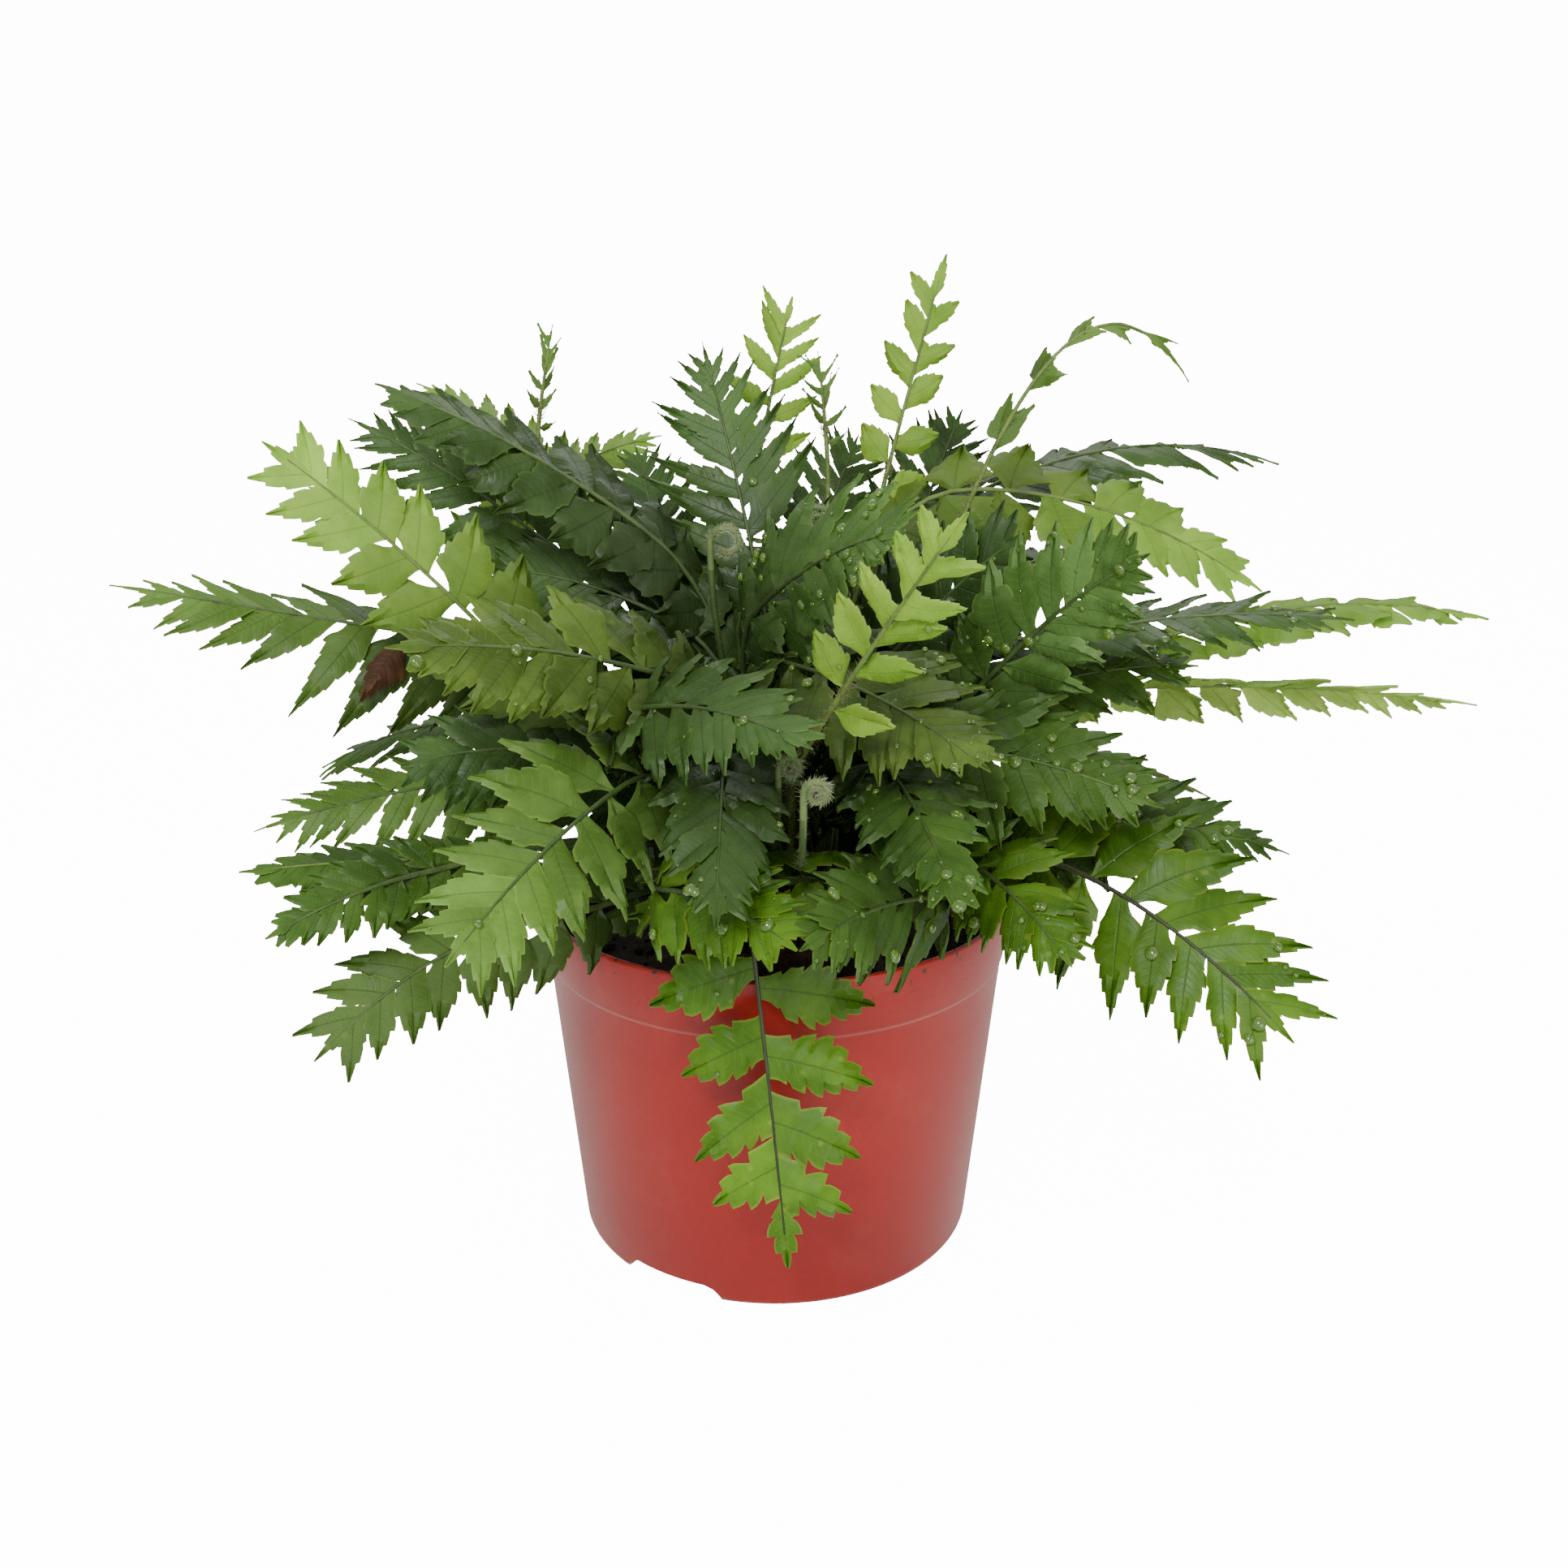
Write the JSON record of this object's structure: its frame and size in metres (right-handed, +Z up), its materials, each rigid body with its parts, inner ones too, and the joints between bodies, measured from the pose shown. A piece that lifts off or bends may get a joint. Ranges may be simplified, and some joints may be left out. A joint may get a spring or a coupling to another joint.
{
  "type": "potted fern",
  "caption": "Clump of arching, sharply toothed fern fronds and pale young shoots growing from a round plastic nursery pot.",
  "frame": {"origin": "centre of the whole plant's bounding box in plan, at the height of the pot's foot", "axes": "+Z up along the pot's axis; -Y towards the side seen in the picture; +X to the viewer's right, along the widest spread"},
  "size_m": [0.3292, 0.2568, 0.243],
  "materials": {
    "pot_plastic": "semi-gloss terracotta-red moulding",
    "soil_peat": "moist crumbly peat",
    "crown_scales": "dry brown scales",
    "leaf_green": "leathery, semi-gloss",
    "leaf_young": "soft, pale, hairy"
  },
  "bodies": {
    "root": {"pot": "pot_plastic", "soil": "soil_peat", "crown": "crown_scales", "front_hanging": "leaf_green", "young_front": "leaf_young", "young_tall": "leaf_young", "young_arched": "leaf_young", "front_right_big": "leaf_green", "left_long": "leaf_green", "top_middle": "leaf_green", "right_long": "leaf_green", "right_upper": "leaf_green", "right_light": "leaf_green", "left_upper": "leaf_green", "left_pale": "leaf_green", "left_droop": "leaf_green", "front_left": "leaf_green", "left_low": "leaf_green", "centre_wet": "leaf_green", "front_right_mid": "leaf_green", "front_olive": "leaf_green", "right_mid": "leaf_green", "right_far": "leaf_green", "left_edge": "leaf_green", "left_low_pale": "leaf_green", "left_olive": "leaf_green", "front_middle": "leaf_green", "front_turned": "leaf_green", "front_right_tip": "leaf_green", "front_down": "leaf_green", "front_blue": "leaf_green", "front_low_left": "leaf_green", "right_front": "leaf_green", "right_inner": "leaf_green", "right_up": "leaf_green", "right_low_back": "leaf_green", "right_low": "leaf_green", "top_right_back": "leaf_green", "top_back": "leaf_green", "top_left_back": "leaf_green", "middle_left": "leaf_green", "middle_right": "leaf_green", "middle_low_left": "leaf_green", "left_low_tip": "leaf_green", "middle_centre": "leaf_green", "back_left_pale": "leaf_green", "back_top": "leaf_green", "back_middle": "leaf_green", "back_low_left": "leaf_green", "back_low_right": "leaf_green", "back_right": "leaf_green", "back_left_low": "leaf_green", "back_hanging": "leaf_green", "young_top": "leaf_young", "young_curled": "leaf_young", "young_dark": "leaf_young", "crozier_left": "leaf_young", "crozier_middle": "leaf_young", "crozier_front": "leaf_young", "crozier_low": "leaf_young"}
  },
  "joints": []
}
